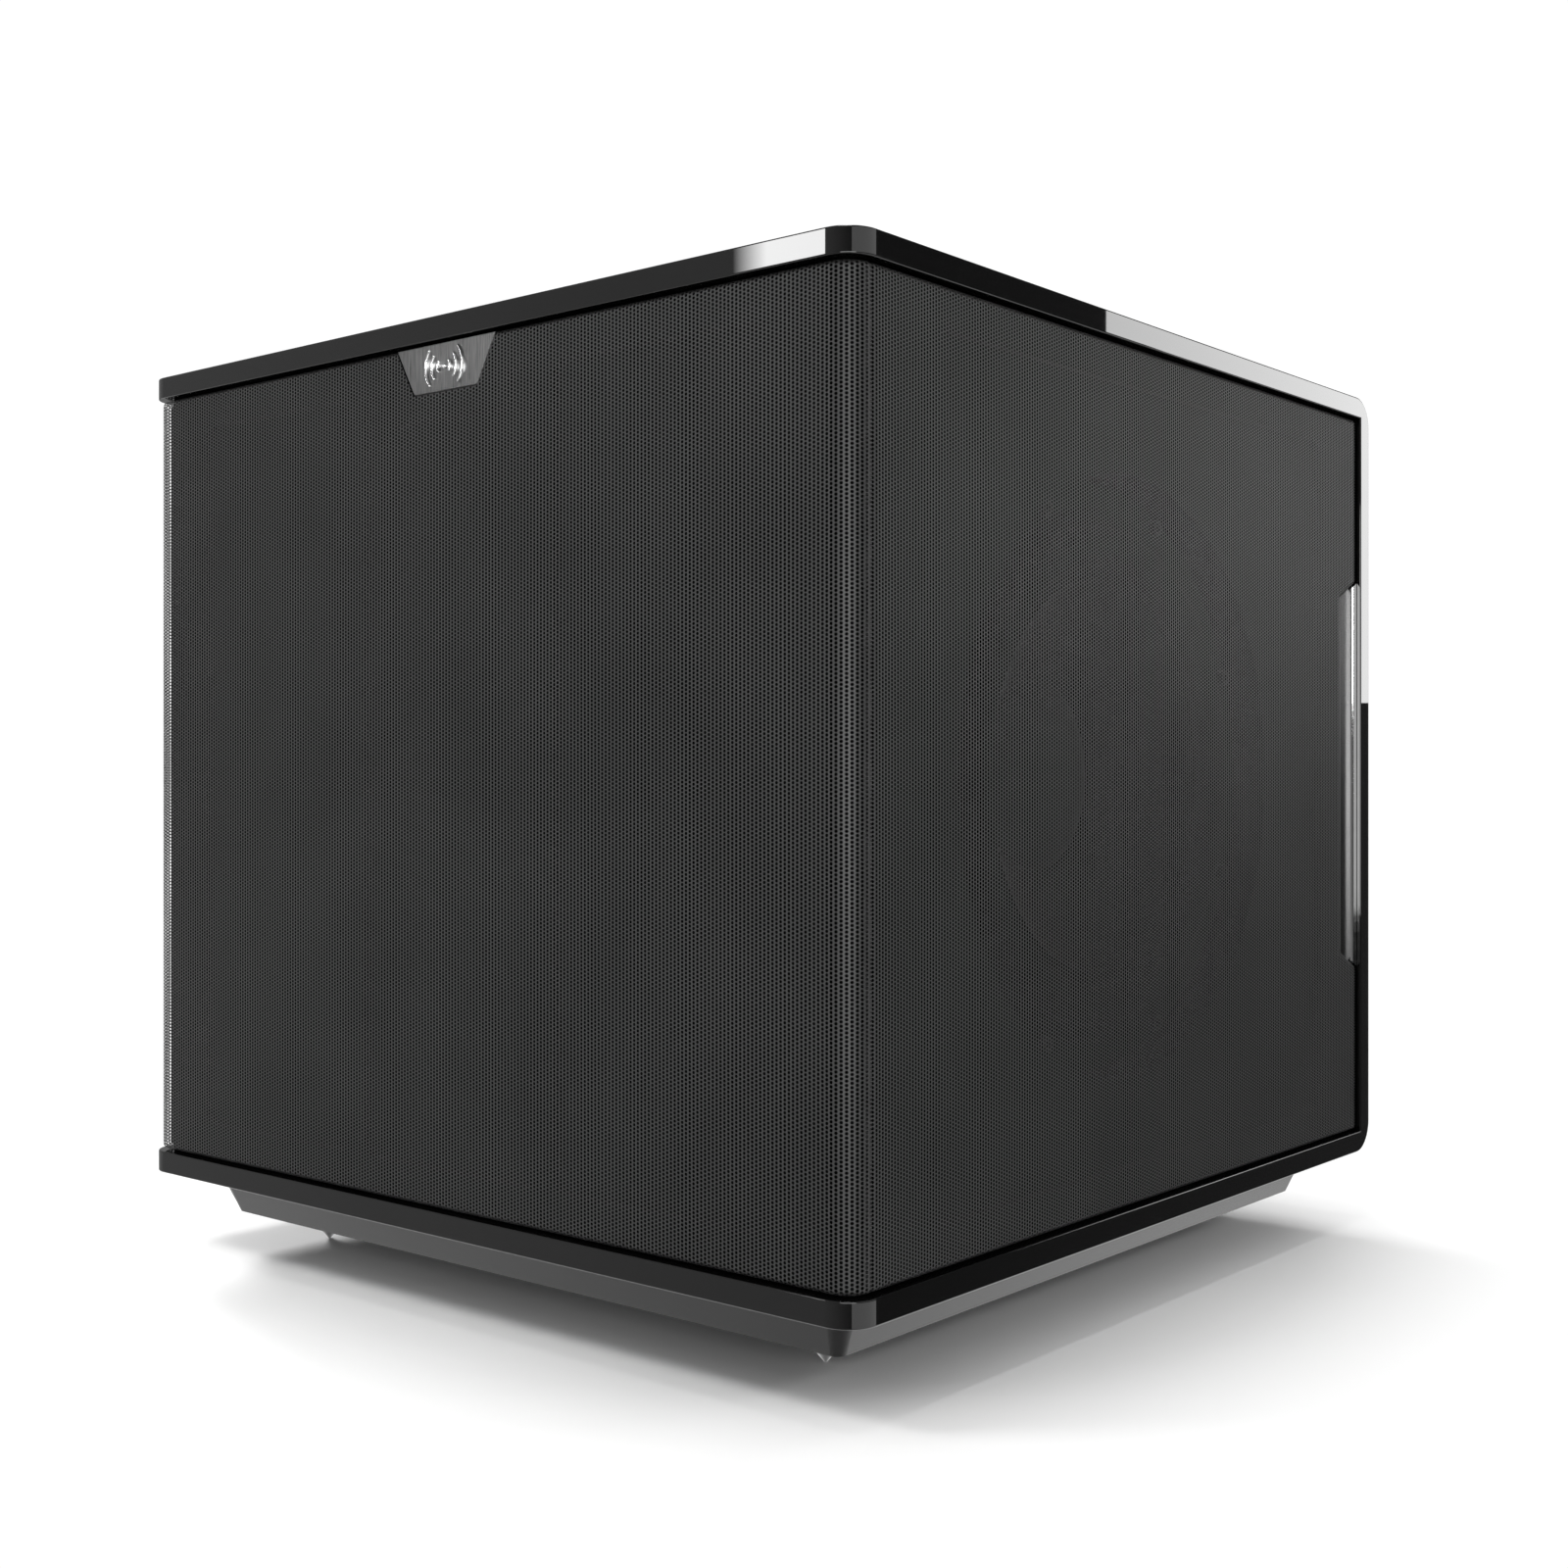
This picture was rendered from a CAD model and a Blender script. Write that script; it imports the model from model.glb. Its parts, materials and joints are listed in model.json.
"""Looks for the subwoofer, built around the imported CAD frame. Metres, Z up, front towards -Y."""

import json
import math

import bmesh
import bpy
import numpy as np
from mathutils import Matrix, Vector

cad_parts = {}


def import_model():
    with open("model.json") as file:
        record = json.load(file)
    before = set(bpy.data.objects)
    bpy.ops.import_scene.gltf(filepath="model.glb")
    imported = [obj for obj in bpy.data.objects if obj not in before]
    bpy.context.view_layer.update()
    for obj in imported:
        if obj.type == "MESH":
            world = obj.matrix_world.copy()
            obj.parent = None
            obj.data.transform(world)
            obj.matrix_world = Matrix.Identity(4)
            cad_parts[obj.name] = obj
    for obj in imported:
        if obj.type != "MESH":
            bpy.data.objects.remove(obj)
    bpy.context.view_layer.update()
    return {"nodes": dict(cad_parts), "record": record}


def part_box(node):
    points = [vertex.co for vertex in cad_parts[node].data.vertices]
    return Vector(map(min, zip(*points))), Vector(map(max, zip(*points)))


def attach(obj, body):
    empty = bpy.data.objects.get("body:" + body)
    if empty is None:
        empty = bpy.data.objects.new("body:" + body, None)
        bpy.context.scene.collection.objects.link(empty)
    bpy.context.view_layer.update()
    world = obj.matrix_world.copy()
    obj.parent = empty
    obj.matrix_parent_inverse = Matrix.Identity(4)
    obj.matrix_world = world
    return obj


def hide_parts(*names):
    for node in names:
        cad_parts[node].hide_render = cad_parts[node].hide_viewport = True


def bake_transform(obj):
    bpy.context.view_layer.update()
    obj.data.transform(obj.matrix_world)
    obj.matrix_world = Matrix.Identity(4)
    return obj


MM = 0.001
GLASS_IOR = 1.5

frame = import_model()


# ---------------------------------------------------------------- node helpers
def material(name, **values):
    """A material with one Principled shader whose uniform values are set on its own sockets."""
    mat = bpy.data.materials.new(name)
    mat.use_nodes = True
    shader = mat.node_tree.nodes["Principled BSDF"]
    for socket, value in values.items():
        shader.inputs[socket.replace("_", " ")].default_value = value
    return mat, mat.node_tree, shader


def link(tree, source, target):
    tree.links.new(source, target)


def place(tree, stretch=(1, 1, 1), turn=(0, 0, 0)):
    """Object coordinates, stretched and turned."""
    coord = tree.nodes.new("ShaderNodeTexCoord")
    mapping = tree.nodes.new("ShaderNodeMapping")
    mapping.inputs["Scale"].default_value = stretch
    mapping.inputs["Rotation"].default_value = turn
    link(tree, coord.outputs["Object"], mapping.inputs["Vector"])
    return mapping.outputs["Vector"]


def noise(tree, where, scale, detail=2.0, roughness=0.5, distortion=0.0):
    node = tree.nodes.new("ShaderNodeTexNoise")
    node.inputs["Scale"].default_value = scale
    node.inputs["Detail"].default_value = detail
    node.inputs["Roughness"].default_value = roughness
    node.inputs["Distortion"].default_value = distortion
    link(tree, where, node.inputs["Vector"])
    return node.outputs["Fac"]


def cells(tree, where, scale, feature="F1", output="Distance"):
    node = tree.nodes.new("ShaderNodeTexVoronoi")
    node.feature = feature
    node.inputs["Scale"].default_value = scale
    link(tree, where, node.inputs["Vector"])
    return node.outputs[output]


def ramp(tree, fac, *stops):
    """Colours or greys by value: stops are (position, grey or colour)."""
    node = tree.nodes.new("ShaderNodeValToRGB")
    points = node.color_ramp.elements
    while len(points) < len(stops):
        points.new(0.5)
    for point, (position, colour) in zip(points, stops):
        point.position = position
        grey = colour if hasattr(colour, "__len__") else (colour,) * 3
        point.color = (*grey, 1)
    link(tree, fac, node.inputs["Fac"])
    return node.outputs["Color"]


def maths(tree, operation, a, b=None):
    node = tree.nodes.new("ShaderNodeMath")
    node.operation = operation
    for socket, value in zip(node.inputs, (a, b)):
        if isinstance(value, (int, float)):
            socket.default_value = value
        elif value is not None:
            link(tree, value, socket)
    return node.outputs[0]


def bump(tree, shader, height, strength, distance, after=None):
    node = tree.nodes.new("ShaderNodeBump")
    node.inputs["Strength"].default_value = strength
    node.inputs["Distance"].default_value = distance
    link(tree, height, node.inputs["Height"])
    if after is not None:
        link(tree, after, node.inputs["Normal"])
    link(tree, node.outputs["Normal"], shader.inputs["Normal"])
    return node.outputs["Normal"]


# ---------------------------------------------------------------- materials
def lacquer():
    """Black base under one clear coat, with a trace of unevenness in the base."""
    coat = {"Coat_Weight": 1.0, "Coat_Roughness": 0.012, "Coat_IOR": GLASS_IOR}
    mat, tree, shader = material("lacquer", Specular_IOR_Level=0.0, **coat)
    where = place(tree)
    colour = ramp(tree, noise(tree, where, 9, 3), (0.3, 0.0010), (0.7, 0.0022))
    link(tree, colour, shader.inputs["Base Color"])
    rough = ramp(tree, noise(tree, where, 60, 4), (0.3, 0.30), (0.7, 0.45))
    link(tree, rough, shader.inputs["Roughness"])
    bump(tree, shader, noise(tree, where, 700, 2), 0.2, 0.00001)
    return mat


def coated(name, low, high, grain, rough=(0.45, 0.6), depth=0.00004, strength=0.5, **values):
    """Paint or coating with a fine grain: mottled colour, roughness and relief."""
    mat, tree, shader = material(name, **values)
    where = place(tree)
    fine = noise(tree, where, grain, 3, 0.6)
    broad = noise(tree, where, 14, 2)
    both = maths(tree, "ADD", maths(tree, "MULTIPLY", fine, 0.7), maths(tree, "MULTIPLY", broad, 0.3))
    link(tree, ramp(tree, both, (0.38, low), (0.62, high)), shader.inputs["Base Color"])
    link(tree, ramp(tree, fine, (0.3, rough[0]), (0.7, rough[1])), shader.inputs["Roughness"])
    bump(tree, shader, fine, strength, depth)
    return mat


def brushed(name, low, high, stretch, rough=(0.25, 0.42), depth=0.00002, **values):
    """Metal with fine straight strokes along the axis that the stretch leaves long."""
    mat, tree, shader = material(name, Metallic=1.0, **values)
    strokes = noise(tree, place(tree, stretch), 1.0, 3, 0.65)
    link(tree, ramp(tree, strokes, (0.3, low), (0.7, high)), shader.inputs["Base Color"])
    link(tree, ramp(tree, strokes, (0.25, rough[0]), (0.75, rough[1])), shader.inputs["Roughness"])
    bump(tree, shader, strokes, 0.35, depth)
    return mat


def polished(name, low, high, rough=(0.05, 0.12)):
    mat, tree, shader = material(name, Metallic=1.0)
    where = place(tree)
    marks = noise(tree, where, 130, 3)
    link(tree, ramp(tree, marks, (0.3, low), (0.7, high)), shader.inputs["Base Color"])
    haze = ramp(tree, noise(tree, where, 420, 2), (0.3, rough[0]), (0.7, rough[1]))
    link(tree, haze, shader.inputs["Roughness"])
    return mat


def board_face():
    """Bare fibreboard: short fibres in a pale brown."""
    mat, tree, shader = material("bare_board", Roughness=0.85)
    fibres = noise(tree, place(tree, (1, 1, 3)), 700, 4, 0.7)
    colour = ramp(tree, fibres, (0.3, (0.24, 0.16, 0.10)), (0.7, (0.47, 0.35, 0.23)))
    link(tree, colour, shader.inputs["Base Color"])
    bump(tree, shader, fibres, 0.3, 0.0001)
    return mat


def woven(name, low, high, pitch, axes=(1, 2), rough=0.3, **values):
    """Crossed threads: two waves at right angles choose which thread is on top."""
    mat, tree, shader = material(name, Roughness=rough, **values)
    coord = tree.nodes.new("ShaderNodeTexCoord")
    split = tree.nodes.new("ShaderNodeSeparateXYZ")
    link(tree, coord.outputs["Object"], split.inputs["Vector"])
    k = 2 * math.pi / pitch
    a, b = (maths(tree, "SINE", maths(tree, "MULTIPLY", split.outputs[axis], k)) for axis in axes)
    both = maths(tree, "MULTIPLY", a, b)
    height = maths(tree, "ADD", maths(tree, "MULTIPLY", both, 0.5), 0.5)
    link(tree, ramp(tree, height, (0.2, low), (0.8, high)), shader.inputs["Base Color"])
    bump(tree, shader, height, 0.4, 0.0003)
    return mat


WIRE = 0.0006


def copper_winding():
    """Round turns of copper wire, side by side along X."""
    mat, tree, shader = material("coil_copper", Metallic=1.0, Roughness=0.35)
    coord = tree.nodes.new("ShaderNodeTexCoord")
    split = tree.nodes.new("ShaderNodeSeparateXYZ")
    link(tree, coord.outputs["Object"], split.inputs["Vector"])
    turns = maths(tree, "SINE", maths(tree, "MULTIPLY", split.outputs[0], 2 * math.pi / WIRE))
    colour = ramp(tree, turns, (0.2, (0.35, 0.13, 0.06)), (0.8, (0.85, 0.42, 0.22)))
    link(tree, colour, shader.inputs["Base Color"])
    bump(tree, shader, turns, 0.4, 0.0002)
    return mat


def circuit_board():
    mat, tree, shader = material("board_green", Roughness=0.4)
    tracks = cells(tree, place(tree), 260, "DISTANCE_TO_EDGE")
    colour = ramp(tree, tracks, (0.03, (0.05, 0.30, 0.13)), (0.09, (0.01, 0.10, 0.04)))
    link(tree, colour, shader.inputs["Base Color"])
    return mat


materials = {
    "lacquer": lacquer(),
    "satin_black_board": coated(
        "satin_black_board", 0.002, 0.004, 900, (0.6, 0.75), Specular_IOR_Level=0.03
    ),
    "bare_board": board_face(),
    "plinth_paint": coated("plinth_paint", 0.008, 0.013, 1500, (0.21, 0.26), 0.000006, 0.3),
    "grille_metal": coated(
        "grille_metal", 0.030, 0.045, 2600, (0.40, 0.52), 0.00002, 0.4, Specular_IOR_Level=0.35
    ),
    "grille_frame_plastic": coated(
        "grille_frame_plastic", 0.002, 0.004, 1800, (0.6, 0.75), Specular_IOR_Level=0.03
    ),
    "grommet_rubber": coated("grommet_rubber", 0.008, 0.014, 1200, (0.7, 0.85)),
    "badge_steel": brushed("badge_steel", 0.09, 0.26, (3200, 3200, 55)),
    "polished_metal": polished("polished_metal", 0.92, 0.98),
    "trim_plate_black": coated(
        "trim_plate_black", 0.002, 0.005, 1400, (0.25, 0.38), 0.00001, Specular_IOR_Level=0.12
    ),
    "spike_chrome": polished("spike_chrome", 0.10, 0.20, (0.06, 0.14)),
    "insert_brass": brushed("insert_brass", (0.45, 0.3, 0.1), (0.8, 0.6, 0.25), (40, 40, 2500)),
    "black_screw": coated("black_screw", 0.003, 0.006, 1600, (0.5, 0.65), Specular_IOR_Level=0.1),
    "cast_aluminium": coated(
        "cast_aluminium", 0.002, 0.003, 1100, (0.6, 0.75), 0.0001, 0.7, Specular_IOR_Level=0.015
    ),
    "surround_rubber": coated(
        "surround_rubber", 0.002, 0.003, 700, (0.75, 0.9), 0.00003, Specular_IOR_Level=0.01
    ),
    "cone_black": woven("cone_black", 0.001, 0.004, 0.005, rough=0.5, Specular_IOR_Level=0.015),
    "dust_cap_black": coated(
        "dust_cap_black", 0.001, 0.003, 500, (0.45, 0.6), 0.00001, Specular_IOR_Level=0.04
    ),
    "coil_copper": copper_winding(),
    "spider_cloth": woven("spider_cloth", (0.32, 0.2, 0.08), (0.6, 0.42, 0.2), 0.0016, rough=0.8),
    "motor_steel": brushed("motor_steel", 0.06, 0.16, (60, 60, 60)),
    "ferrite": coated("ferrite", 0.012, 0.03, 800, (0.4, 0.6)),
    "amp_panel_paint": coated("amp_panel_paint", 0.008, 0.014, 2200, (0.38, 0.5), 0.00002),
    "heat_sink_anodised": brushed("heat_sink_anodised", 0.02, 0.045, (900, 900, 12), (0.35, 0.5)),
    "knob_plastic": coated("knob_plastic", 0.010, 0.018, 1500, (0.4, 0.55)),
    "board_green": circuit_board(),
    "transformer_wrap": coated("transformer_wrap", 0.05, 0.12, 350, (0.3, 0.5), 0.0002, 0.6),
    "inlet_plastic": coated("inlet_plastic", 0.008, 0.016, 1500, (0.35, 0.5)),
    "jack_gold": polished("jack_gold", (0.75, 0.52, 0.18), (0.95, 0.72, 0.30), (0.12, 0.22)),
    "jack_nickel": polished("jack_nickel", 0.55, 0.68, (0.12, 0.2)),
}

slots = {row["node"]: row["material_slot"] for row in frame["record"]["subparts"]}
for node, ob in frame["nodes"].items():
    ob.data.materials.clear()
    ob.data.materials.append(materials[slots[node]])


# ---------------------------------------------------------------- punched grilles
def piece(name, vertices, faces, node, body):
    """A new mesh that stands for a CAD node. Faces are an (n, 4) array, where a triangle repeats its last
    vertex."""
    used, index = np.unique(faces, return_inverse=True)
    faces = index.reshape(faces.shape)
    triangle = faces[:, 2] == faces[:, 3]
    counts = np.where(triangle, 3, 4)
    starts = np.concatenate([[0], np.cumsum(counts)[:-1]])
    loops = faces[np.arange(4) < counts[:, None]]
    mesh = bpy.data.meshes.new(name)
    mesh.vertices.add(len(used))
    mesh.vertices.foreach_set("co", vertices[used].astype(np.float32).ravel())
    mesh.loops.add(len(loops))
    mesh.loops.foreach_set("vertex_index", loops.astype(np.int32))
    mesh.polygons.add(len(faces))
    mesh.polygons.foreach_set("loop_start", starts.astype(np.int32))
    mesh.polygons.foreach_set("use_smooth", np.ones(len(faces), bool))
    mesh.update(calc_edges=True)
    mesh.validate()
    ob = bpy.data.objects.new(name, mesh)
    bpy.context.scene.collection.objects.link(ob)
    mesh.materials.append(materials[slots[node]])
    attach(ob, body)
    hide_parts(node)
    return ob


def punched(low, high, step, hole_area):
    """A flat sheet over the rectangle low..high, as (n, 2) points and (m, 4) faces, with staggered
    six-sided holes: columns step[0] apart, holes step[1] apart in each, and every second column half a
    step up."""
    lean = math.atan2(step[1] / 2, step[0])
    side = (math.pi / 2 + lean) / 2  # between the directions of the upper neighbour and the one beside
    angles = np.array([0, side, math.pi - side, math.pi, math.pi + side, -side])
    spread = 2 * math.sin(side) + math.sin(math.pi - 2 * side)
    radius = math.sqrt(hole_area / spread)
    columns, rows = (int((high[i] - low[i]) / step[i]) + 3 for i in (0, 1))
    i, j = np.meshgrid(np.arange(columns), np.arange(rows), indexing="ij")
    middle = (np.array(low) + np.array(high)) / 2
    x = middle[0] + (i - (columns - 1) / 2) * step[0]
    y = middle[1] + (j - (rows - 1) / 2 + 0.5 * (i % 2) - 0.25) * step[1]
    points = np.stack(
        [x[..., None] + radius * np.cos(angles), y[..., None] + radius * np.sin(angles)], -1
    ).reshape(-1, 2)

    def corner(di, dj, k):
        """The vertex k of the neighbour di columns over and dj half steps up, for every hole."""
        shift = (dj - di * (1 - 2 * (i % 2))) // 2 if di else dj // 2
        ni, nj = i + di, j + shift
        inside = (ni >= 0) & (ni < columns) & (nj >= 0) & (nj < rows)
        return np.where(inside, (ni * rows + nj) * 6 + k, -1).ravel()

    own = [corner(0, 0, k) for k in range(6)]
    faces = [
        (own[1], corner(0, 2, 5), corner(0, 2, 4), own[2]),
        (own[0], corner(1, 1, 4), corner(1, 1, 3), own[1]),
        (own[5], corner(1, -1, 3), corner(1, -1, 2), own[0]),
        (own[1], corner(1, 1, 3), corner(0, 2, 5), corner(0, 2, 5)),
        (own[0], corner(1, -1, 2), corner(1, 1, 4), corner(1, 1, 4)),
    ]
    faces = np.concatenate([np.stack(f, -1) for f in faces])
    return points, faces[(faces >= 0).all(1)]


def trim(points, faces, low, high):
    """Cuts the sheet to the rectangle: what reaches past its edges is drawn back to them."""
    points = np.clip(points, low, high)
    corners = points[faces]
    a, b, c, d = (corners[:, k] for k in range(4))
    area = np.abs(
        (c - a)[:, 0] * (d - b)[:, 1] - (c - a)[:, 1] * (d - b)[:, 0]
    )
    return points, faces[area > 1e-12]


def fold(beyond, radius):
    """For the distance past the start of a bend: how far it reaches out after bending, and how far back."""
    past = np.clip(beyond, 0, None)
    angle = np.clip(past / radius, 0, math.pi / 2)
    straight = np.clip(past - radius * math.pi / 2, 0, None)
    return radius * np.sin(angle), radius * (1 - np.cos(angle)) + straight


GRILLE_BEND, GRILLE_FOLD = 2.5 * MM, 5.5 * MM
# Along the sheet, from the start of a bend to the end of its flange.
FLANGE_REACH = GRILLE_BEND * math.pi / 2 + GRILLE_FOLD - GRILLE_BEND
FRONT_TURN = 13.1 * MM  # the front grille's corners, from the middle of the turn to the outer face
FRONT_STEP = (2.38 * MM, 1.90 * MM)
SIDE_STEP = (2.24 * MM, 1.80 * MM)
FRONT_HOLE, SIDE_HOLE = math.pi * (0.79 * MM) ** 2, math.pi * (0.745 * MM) ** 2
BADGE_FOOT, BADGE_GAP = 24.7 * MM, 0.5 * MM  # half the badge's lower edge; the grille's gap round the badge
# A side grille's notch: its front edge, and half its length there.
NOTCH_Y, NOTCH_HALF = 234.0 * MM, 111.0 * MM
NOTCH_LEAN = (243.5 - 222.0) / 2 / 21.2  # how far a slanted end goes outwards for each unit to the rear
BANDS = 3


def in_bands(name, flat, vertices, faces, node, body):
    """Splits the sheet into level bands, to keep each piece's mesh a reasonable size."""
    height = flat[faces].mean(1)[:, 1]
    cuts = np.quantile(height, np.linspace(0, 1, BANDS + 1))
    for k in range(BANDS):
        top = height <= cuts[k + 1] if k == BANDS - 1 else height < cuts[k + 1]
        piece(f"{name}_band_{k + 1}", vertices, faces[(height >= cuts[k]) & top], node, body)


def front_sheet():
    low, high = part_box("front_grille")
    flat_x, flat_z = high.x - FRONT_TURN, (high.z - low.z) / 2 - GRILLE_BEND
    middle_z = (high.z + low.z) / 2
    half_s = flat_x + FRONT_TURN * math.pi / 2 + (high.y - low.y - FRONT_TURN)
    half_t = flat_z + FLANGE_REACH
    flat, faces = punched((-half_s, -half_t), (half_s, half_t), FRONT_STEP, FRONT_HOLE)
    flat, faces = trim(flat, faces, (-half_s, -half_t), (half_s, half_t))
    flat, faces = cut_badge(flat, faces, high.z - middle_z)
    s, t = flat.T
    over = np.abs(t) - flat_z
    out, back = fold(over, GRILLE_BEND)
    z = middle_z + np.sign(t) * (np.minimum(np.abs(t), flat_z) + out)
    past = np.abs(s) - flat_x
    angle = np.clip(past / FRONT_TURN, 0, math.pi / 2)
    run = np.clip(past - FRONT_TURN * math.pi / 2, 0, None)
    x = np.sign(s) * (np.minimum(np.abs(s), flat_x) + FRONT_TURN * np.sin(angle) - back * np.sin(angle))
    y = low.y + FRONT_TURN * (1 - np.cos(angle)) + run + back * np.cos(angle)
    in_bands("front_grille", flat, np.stack([x, y, z], -1), faces, "front_grille", "front_grille")


def cut_badge(flat, faces, top):
    """Cuts the badge's opening, a gap clear of the badge, out of the flat sheet."""
    low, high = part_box("front_badge")
    half_top, drop = (high.x - low.x) / 2, high.z - low.z
    lean = (half_top - BADGE_FOOT) / drop
    bottom = top - drop - BADGE_GAP

    def edge(z):
        """Half the opening's width at a height."""
        return BADGE_FOOT + lean * (z - (top - drop)) + BADGE_GAP * math.hypot(1, lean)

    corners = flat[faces]
    beside, below = 6 * MM, 3 * MM
    near = (np.abs(corners[..., 0]).min(1) < half_top + beside) & (corners[..., 1].max(1) > bottom - below)
    bm = bmesh.new()
    used, index = np.unique(faces[near], return_inverse=True)
    made = [bm.verts.new((flat[v][0], flat[v][1], 0)) for v in used]
    for f in index.reshape(-1, 4):
        bm.faces.new([made[v] for v in dict.fromkeys(f)])
    planes = [((0, bottom, 0), (0, 1, 0))]
    for sign in (-1, 1):
        planes.append(((sign * edge(bottom), bottom, 0), (sign, -lean, 0)))
    for point, normal in planes:
        bmesh.ops.bisect_plane(
            bm, geom=bm.verts[:] + bm.edges[:] + bm.faces[:], plane_co=point, plane_no=normal, dist=1e-7
        )
    gone = []
    for f in bm.faces:
        c = f.calc_center_median()
        if c.y > bottom and abs(c.x) < edge(c.y):
            gone.append(f)
    bmesh.ops.delete(bm, geom=gone, context="FACES")
    bmesh.ops.triangulate(bm, faces=[f for f in bm.faces if len(f.verts) > 4])
    bm.verts.index_update()
    extra = np.array([v.co[:2] for v in bm.verts])
    more = [[v.index + len(flat) for v in f.verts] for f in bm.faces]
    more = np.array([f + [f[-1]] * (4 - len(f)) for f in more])
    bm.free()
    return np.concatenate([flat, extra]), np.concatenate([faces[~near], more])


def side_sheet(side):
    node = f"{side}_grille"
    low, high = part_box(node)
    middle = ((low.y + high.y) / 2, (low.z + high.z) / 2)
    half = ((high.y - low.y) / 2 - GRILLE_BEND, (high.z - low.z) / 2 - GRILLE_BEND)
    reach = [h + FLANGE_REACH for h in half]
    flat, faces = punched([-r for r in reach], reach, SIDE_STEP, SIDE_HOLE)
    flat, faces = trim(flat, faces, [-r for r in reach], reach)
    # The notch for the trim: distance from its front edge and from its slanted ends, whichever is larger.
    notch_y = NOTCH_Y - middle[0]
    slant = math.hypot(1, NOTCH_LEAN)
    y, z = flat.T
    ahead = notch_y - y
    aside = (np.abs(z) - NOTCH_HALF - NOTCH_LEAN * (y - notch_y)) / slant
    over = GRILLE_BEND - np.maximum(ahead, aside)
    slanted = np.stack([np.full_like(z, NOTCH_LEAN), -np.sign(z)], -1) / slant
    towards = np.where((ahead >= aside)[:, None], (1.0, 0.0), slanted)
    out, back = fold(over, GRILLE_BEND)
    moved = flat - towards * (np.clip(over, 0, None) - out)[:, None]
    depth = back
    shape = np.empty_like(flat)
    for k in (0, 1):
        out, back = fold(np.abs(moved[:, k]) - half[k], GRILLE_BEND)
        shape[:, k] = middle[k] + np.sign(moved[:, k]) * (np.minimum(np.abs(moved[:, k]), half[k]) + out)
        depth = depth + back
    kept = (depth[faces].mean(1) < GRILLE_FOLD) & (over[faces].max(1) < FLANGE_REACH)
    faces = faces[kept]
    sign = 1 if side == "right" else -1
    face_x = max(abs(low.x), abs(high.x))
    x = sign * (face_x - np.minimum(depth, GRILLE_FOLD))
    if sign < 0:
        faces = np.where((faces[:, 2] == faces[:, 3])[:, None], faces[:, [2, 1, 0, 0]], faces[:, ::-1])
    in_bands(node, flat, np.stack([x, shape[:, 0], shape[:, 1]], -1), faces, node, node)


front_sheet()
for side in ("right", "left"):
    side_sheet(side)


# ---------------------------------------------------------------- badge
def emblem(arcs=(4.8, 9.6, 14.4), half_arc=math.radians(42), stroke=1.3 * MM, along=28, across=10):
    """The badge's raised mark, half round with rounded ends: a dot between three pairs of arcs."""
    low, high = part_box("badge_emblem")
    centre = (low + high) / 2
    section = np.linspace(0, math.pi, across + 1)
    ends = np.linspace(0.1, 1, 6) * math.pi / 2
    points, faces = [], []

    def strip(radius, angle, scale):
        """A ridge along the angles, as high and as wide as each one's scale."""
        start = sum(len(p) for p in points)
        r = radius - np.cos(section) * stroke / 2 * scale[:, None]
        height = np.sin(section) * (high.y - low.y) * scale[:, None]
        x = centre.x + r * np.cos(angle)[:, None]
        z = centre.z + r * np.sin(angle)[:, None]
        points.append(np.stack([x, high.y - height, z], -1).reshape(-1, 3))
        i, j = np.meshgrid(np.arange(len(angle) - 1), np.arange(across), indexing="ij")
        first = start + i * (across + 1) + j
        quads = [first, first + 1, first + across + 2, first + across + 1]
        faces.append(np.stack([q.ravel() for q in quads], -1))

    for arc in arcs:
        radius = arc * MM
        inset = stroke / 2 * (1 - np.cos(ends)) / radius
        tip = half_arc - inset
        middle = np.linspace(-tip[-1], tip[-1], along)[1:-1]
        angle = np.concatenate([-tip, middle, tip[::-1]])
        scale = np.concatenate([np.sin(ends), np.ones(len(middle)), np.sin(ends)[::-1]])
        for facing in (0, math.pi):
            strip(radius, facing + angle, scale)
    turn = np.linspace(0, 2 * math.pi, 2 * along)
    start = sum(len(p) for p in points)
    for k in range(across + 1):
        rise = 0.98 * k / across * math.pi / 2
        r, y = stroke * math.cos(rise), high.y - (high.y - low.y) * math.sin(rise)
        ring = [centre.x + r * np.cos(turn), np.full_like(turn, y), centre.z + r * np.sin(turn)]
        points.append(np.stack(ring, -1))
        if k:
            last = start + (k - 1) * len(turn) + np.arange(len(turn) - 1)
            faces.append(np.stack([last + 1, last, last + len(turn), last + len(turn) + 1], -1))
    vertices = np.concatenate(points)
    piece("emblem_ridges", vertices, np.concatenate(faces), "badge_emblem", "front_grille")


emblem()


# ---------------------------------------------------------------- woofer suspension
FRAME_FLANGE = 6 * MM  # a basket's flange stands this far out from the seat that depths are measured from
COIL_R = 37.1 * MM


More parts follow.
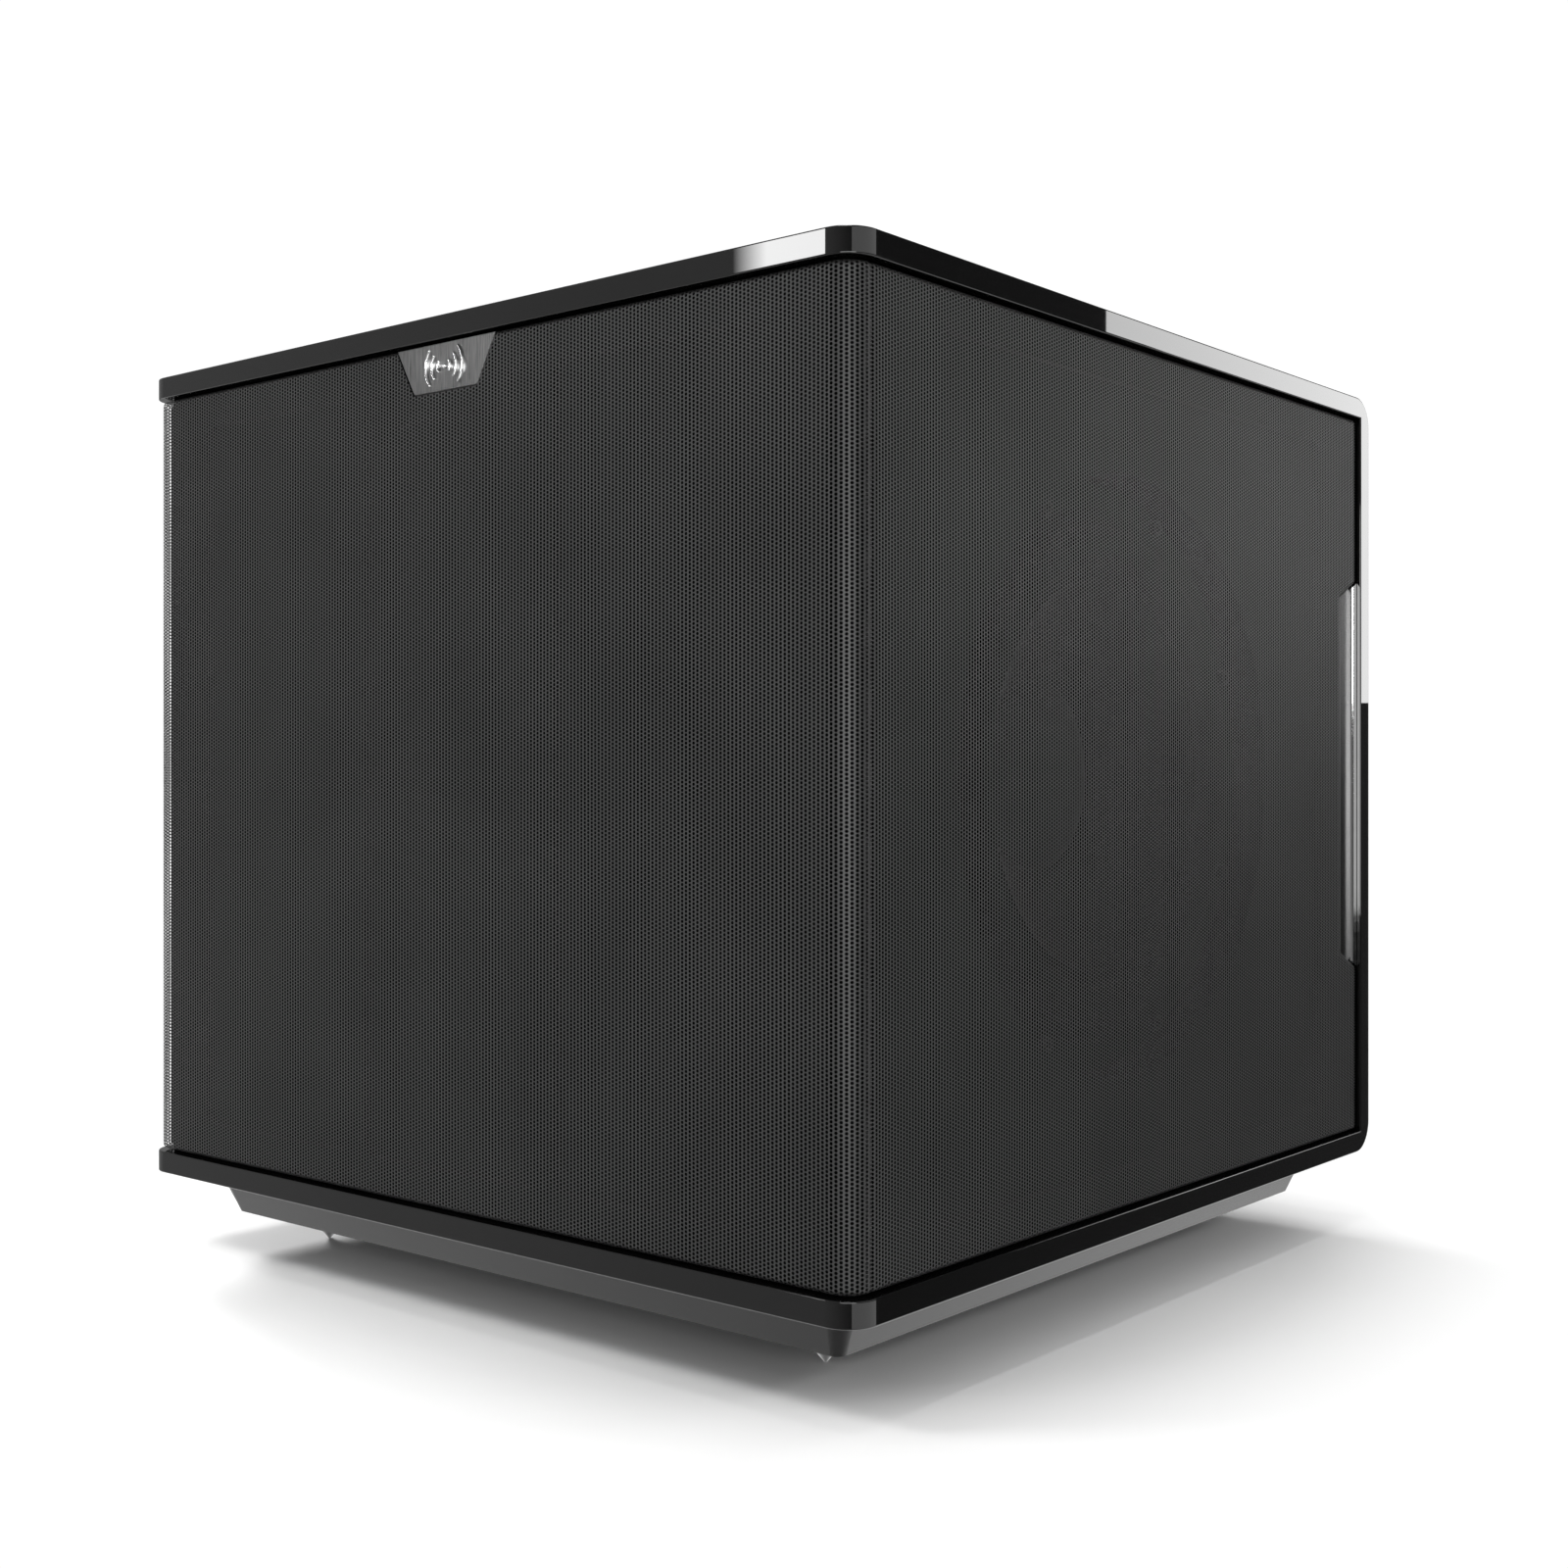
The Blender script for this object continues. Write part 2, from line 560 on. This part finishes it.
def flexing_ring(side, part, section, sectors=16, steps=6):
    """A ring turned from its section, (radius, depth) points: the top from the inside out, then the
    underside back. Each sector bends along its own radius, from the cabinet's hold to the cone's."""
    sign = 1 if side == "right" else -1
    node = f"{side}_{part}"
    low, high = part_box(f"{side}_surround")
    centre = (low + high) / 2
    basket_low, basket_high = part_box(f"{side}_basket")
    seat = max(abs(basket_low.x), abs(basket_high.x)) - FRAME_FLANGE
    section = np.array(section)
    n = len(section)
    for s in range(sectors):
        middle = 2 * math.pi * s / sectors
        rings = []
        for a in middle + np.linspace(-0.5, 0.5, steps + 1) * 2 * math.pi / sectors:
            x = sign * (seat + section[:, 1])
            y = centre.y + section[:, 0] * math.cos(a)
            z = centre.z + section[:, 0] * math.sin(a)
            rings.append(np.stack([x, y, z], -1))
        faces = []
        for r in range(steps):
            for k in range(n):
                m = (k + 1) % n
                quad = [r * n + k, r * n + m, (r + 1) * n + m, (r + 1) * n + k]
                faces.append(quad if sign > 0 else quad[::-1])
        mesh = bpy.data.meshes.new(f"{node}_{s + 1:02d}")
        mesh.from_pydata(np.concatenate(rings).tolist(), [], faces)
        mesh.update()
        mesh.polygons.foreach_set("use_smooth", [True] * len(mesh.polygons))
        mesh.materials.append(materials[slots[node]])
        ob = bpy.data.objects.new(mesh.name, mesh)
        bpy.context.scene.collection.objects.link(ob)
        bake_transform(ob)
        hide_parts(node)


def surround_section():
    """The rubber half roll between its inner and outer lips."""
    lip, sheet = 6.3 * MM, 1.5 * MM
    roll, roll_at, lip_r, inner_r = 11.25 * MM, 122.5 * MM, 142.5 * MM, 105.0 * MM
    section = [(inner_r, lip), (inner_r, lip + sheet)]
    for a in np.linspace(math.pi, 0, 19):
        section.append((roll_at + roll * math.cos(a), lip + max(roll * math.sin(a), sheet)))
    section += [(lip_r - sheet, lip + sheet), (lip_r, lip + sheet / 2), (lip_r, lip)]
    for a in np.linspace(0, math.pi, 17):
        section.append((roll_at + (roll - sheet) * math.cos(a), lip + (roll - sheet) * math.sin(a)))
    return section


def spider_section(between=6):
    """The moulded disc's waves, from the coil out to the flat rim on the basket's ledge."""
    face, sheet, wave = -60.9 * MM, 0.8 * MM, 2.2 * MM
    rim_r, ledge_r = 90.0 * MM, 82.0 * MM
    turns = ((50.5, -wave), (59.5, wave), (68.5, -wave), (77.5, wave))
    crests = [(COIL_R, 0), *((radius * MM, rise) for radius, rise in turns), (ledge_r, 0)]
    top = []
    for (r0, h0), (r1, h1) in zip(crests, crests[1:]):
        for t in np.linspace(0, 1, between, endpoint=False):
            top.append((r0 + (r1 - r0) * t, face + h0 + (h1 - h0) * (1 - math.cos(math.pi * t)) / 2))
    top += [(ledge_r, face), (rim_r, face)]
    return top + [(r, depth - sheet) for r, depth in reversed(top)]


for side in ("right", "left"):
    flexing_ring(side, "surround", surround_section())
    flexing_ring(side, "spider", spider_section())


# ---------------------------------------------------------------- stage, camera and light
def upright_card(name, corner, start_deg, end_deg, distance, low, high, strength, edge=0.0):
    """A glowing card that only reflections see. It stands between two bearings from a point of the
    object, clockwise from -Y seen from above. It brightens from its first side, over the edge's share."""
    ends = []
    for deg in (start_deg, end_deg):
        a = math.radians(deg)
        ends.append((corner[0] - math.sin(a) * distance, corner[1] - math.cos(a) * distance))
    mesh = bpy.data.meshes.new(name)
    corners = [(*ends[0], low), (*ends[1], low), (*ends[1], high), (*ends[0], high)]
    mesh.from_pydata(corners, [], [(0, 1, 2, 3)])
    along = mesh.uv_layers.new(name="along")
    for loop, across in zip(along.data, (0, 1, 1, 0)):
        loop.uv = (across, 0)
    mat = bpy.data.materials.new(name)
    mat.use_nodes = True
    tree = mat.node_tree
    tree.nodes.clear()
    glow = tree.nodes.new("ShaderNodeEmission")
    glow.inputs["Strength"].default_value = strength
    if edge:
        where = tree.nodes.new("ShaderNodeTexCoord")
        split = tree.nodes.new("ShaderNodeSeparateXYZ")
        link(tree, where.outputs["UV"], split.inputs["Vector"])
        link(tree, ramp(tree, split.outputs[0], (0, 0.02), (edge, 1)), glow.inputs["Color"])
    out = tree.nodes.new("ShaderNodeOutputMaterial")
    link(tree, glow.outputs[0], out.inputs["Surface"])
    mesh.materials.append(mat)
    ob = bpy.data.objects.new(name, mesh)
    bpy.context.scene.collection.objects.link(ob)
    ob.visible_camera = ob.visible_diffuse = ob.visible_shadow = False


def area_light(name, position, target, size, power, in_gloss=True):
    data = bpy.data.lights.new(name, "AREA")
    data.shape = "RECTANGLE"
    data.size, data.size_y = size
    data.energy = power
    ob = bpy.data.objects.new(name, data)
    ob.location = position
    ob.rotation_euler = (Vector(target) - Vector(position)).to_track_quat("-Z", "Y").to_euler()
    ob.visible_glossy = in_gloss
    bpy.context.scene.collection.objects.link(ob)


def floor():
    """Pale and plain. Far from the object it fades into the white behind, so that no horizon shows."""
    half = 40.0
    mesh = bpy.data.meshes.new("floor")
    corners = [(-half, -half, 0), (half, -half, 0), (half, half, 0), (-half, half, 0)]
    mesh.from_pydata(corners, [], [(0, 1, 2, 3)])
    mat, tree, shader = material("floor", Roughness=0.9, Specular_IOR_Level=0.0)
    where = place(tree)
    colour = ramp(tree, noise(tree, where, 3, 2), (0.3, 0.79), (0.7, 0.81))
    link(tree, colour, shader.inputs["Base Color"])
    reach = tree.nodes.new("ShaderNodeVectorMath")
    reach.operation = "LENGTH"
    link(tree, where, reach.inputs[0])
    far = ramp(tree, maths(tree, "MULTIPLY", reach.outputs["Value"], 0.25), (0.08, 0), (0.13, 1))
    path = tree.nodes.new("ShaderNodeLightPath")
    clear = tree.nodes.new("ShaderNodeBsdfTransparent")
    mix = tree.nodes.new("ShaderNodeMixShader")
    link(tree, maths(tree, "MULTIPLY", far, path.outputs["Is Camera Ray"]), mix.inputs["Fac"])
    link(tree, shader.outputs[0], mix.inputs[1])
    link(tree, clear.outputs[0], mix.inputs[2])
    link(tree, mix.outputs[0], tree.nodes["Material Output"].inputs["Surface"])
    mesh.materials.append(mat)
    ob = bpy.data.objects.new("floor", mesh)
    bpy.context.scene.collection.objects.link(ob)
    ob.visible_glossy = False


def camera():
    data = bpy.data.cameras.new("camera")
    data.sensor_width = 36.0
    data.lens = 44.77
    data.shift_y = -0.01
    data.clip_start, data.clip_end = 0.05, 200
    ob = bpy.data.objects.new("camera", data)
    ob.location = (0.783, -0.930, 0.287)
    ob.rotation_euler = (math.pi / 2, 0, math.radians(39.84))
    bpy.context.scene.collection.objects.link(ob)
    bpy.context.scene.camera = ob


def towards(tree, where, direction):
    """How far the view of the studio points along a direction, from 0, away from it, to 1."""
    node = tree.nodes.new("ShaderNodeVectorMath")
    node.operation = "DOT_PRODUCT"
    link(tree, where, node.inputs[0])
    node.inputs[1].default_value = direction
    return maths(tree, "ADD", maths(tree, "MULTIPLY", node.outputs["Value"], 0.5), 0.5)


def blend(tree, fac, a, b):
    node = tree.nodes.new("ShaderNodeMixShader")
    link(tree, fac, node.inputs["Fac"])
    link(tree, a, node.inputs[1])
    link(tree, b, node.inputs[2])
    return node.outputs[0]


def sky(tree, colour=None, strength=1.0):
    node = tree.nodes.new("ShaderNodeBackground")
    node.inputs["Color"].default_value = (1, 1, 1, 1)
    node.inputs["Strength"].default_value = strength
    if colour is not None:
        link(tree, colour, node.inputs["Color"])
    return node.outputs[0]


def world():
    """White behind the object and even light all round it; in gloss, a dim studio that is brighter at the
    front left, and brighter below on the side away from the corner."""
    scene_world = bpy.data.worlds.new("studio")
    bpy.context.scene.world = scene_world
    scene_world.use_nodes = True
    tree = scene_world.node_tree
    tree.nodes.clear()
    path = tree.nodes.new("ShaderNodeLightPath")
    where = tree.nodes.new("ShaderNodeTexCoord").outputs["Generated"]
    front_left, corner = (-0.8, -0.6, 0), (0.64, -0.77, 0)
    sides = ramp(tree, towards(tree, where, front_left), (0.05, 0.07), (0.45, 0.19), (1.0, 0.52))
    under = ramp(tree, towards(tree, where, corner), (0.25, 1.35), (0.43, 0.7), (0.65, 0.35))
    round_about, below = sky(tree, sides), sky(tree, under)
    down = ramp(tree, towards(tree, where, (0, 0, -1)), (0.64, 0), (0.72, 1))
    gloss = blend(tree, down, round_about, below)
    lit = blend(tree, path.outputs["Is Glossy Ray"], sky(tree, strength=0.76), gloss)
    seen = blend(tree, path.outputs["Is Camera Ray"], lit, sky(tree, strength=1.05))
    out = tree.nodes.new("ShaderNodeOutputWorld")
    link(tree, seen, out.inputs["Surface"])


bpy.context.scene.view_settings.view_transform = "Standard"
camera()
floor()
world()
upright_card("card_front", (0.25, -0.27), 42.2, 36.9, 2.5, 0.95, 1.40, 18.3, edge=0.25)
upright_card("card_rear", (0.27, 0.10), 200.5, 212.0, 3.0, 0.42, 1.30, 5.6)
upright_card("card_right_high", (0.256, -0.254), -51.7, -141.7, 3.0, 0.9, 2.0, 1.5)
upright_card("card_right_low", (0.256, -0.254), -51.7, -141.7, 3.0, -2.2, -0.5, 1.5)
upright_card("card_corner", (0.25, -0.25), -14.8, -64.8, 2.5, 0.0, 0.8, 9.0)
area_light("overhead", (0.03, 0.0, 2.6), (0.03, 0, 0), (0.66, 0.66), 41)
area_light("front_left", (-1.6, -1.6, 2.6), (0, 0, 0.1), (0.8, 0.8), 50, in_gloss=False)
area_light("rear_right", (2.2, 1.6, 1.2), (0.2, 0.1, 0), (0.8, 0.5), 14, in_gloss=False)
area_light("left", (-3.2, 1.2, 1.1), (-0.2, -0.2, 0), (1.0, 0.5), 210, in_gloss=False)
